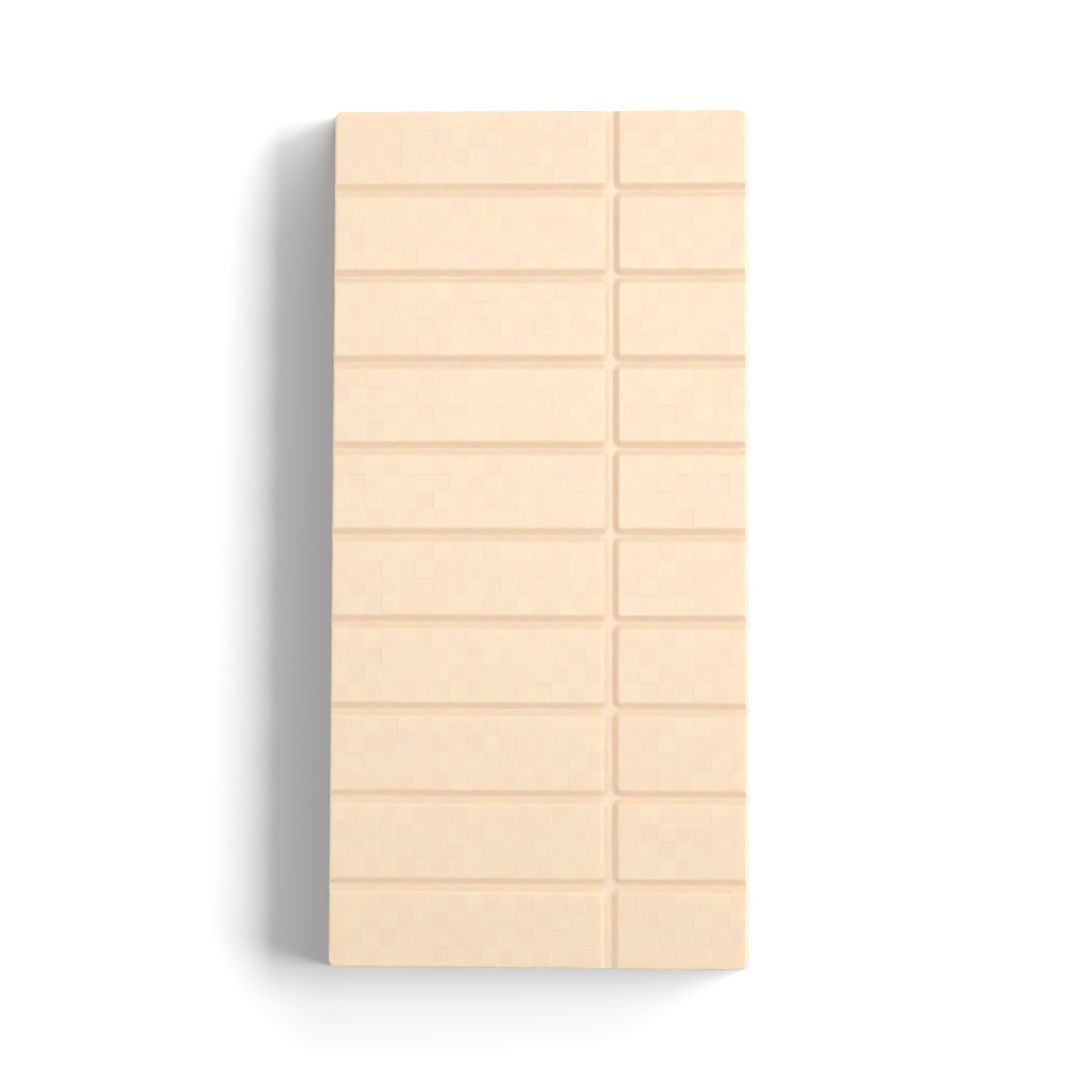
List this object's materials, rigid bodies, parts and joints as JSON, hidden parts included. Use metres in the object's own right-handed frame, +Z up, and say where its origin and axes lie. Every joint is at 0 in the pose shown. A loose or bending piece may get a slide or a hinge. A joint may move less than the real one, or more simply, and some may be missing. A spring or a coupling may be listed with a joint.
{
  "type": "chocolate bar",
  "caption": "Flat bar of white chocolate, scored by shallow grooves into pieces to snap off, with a fine checkerboard of small raised tiles on top.",
  "frame": {"origin": "centre of the flat back, on the surface the bar lies on", "axes": "+Y along the bar towards its far end, +Z up out of the moulded top, +X across the bar towards its narrow column of pieces"},
  "size_m": [0.0764, 0.156, 0.0072],
  "materials": {
    "white_chocolate": "smooth satin cream, slightly translucent"
  },
  "bodies": {
    "root": {"chocolate_bar": "white_chocolate"}
  },
  "joints": []
}
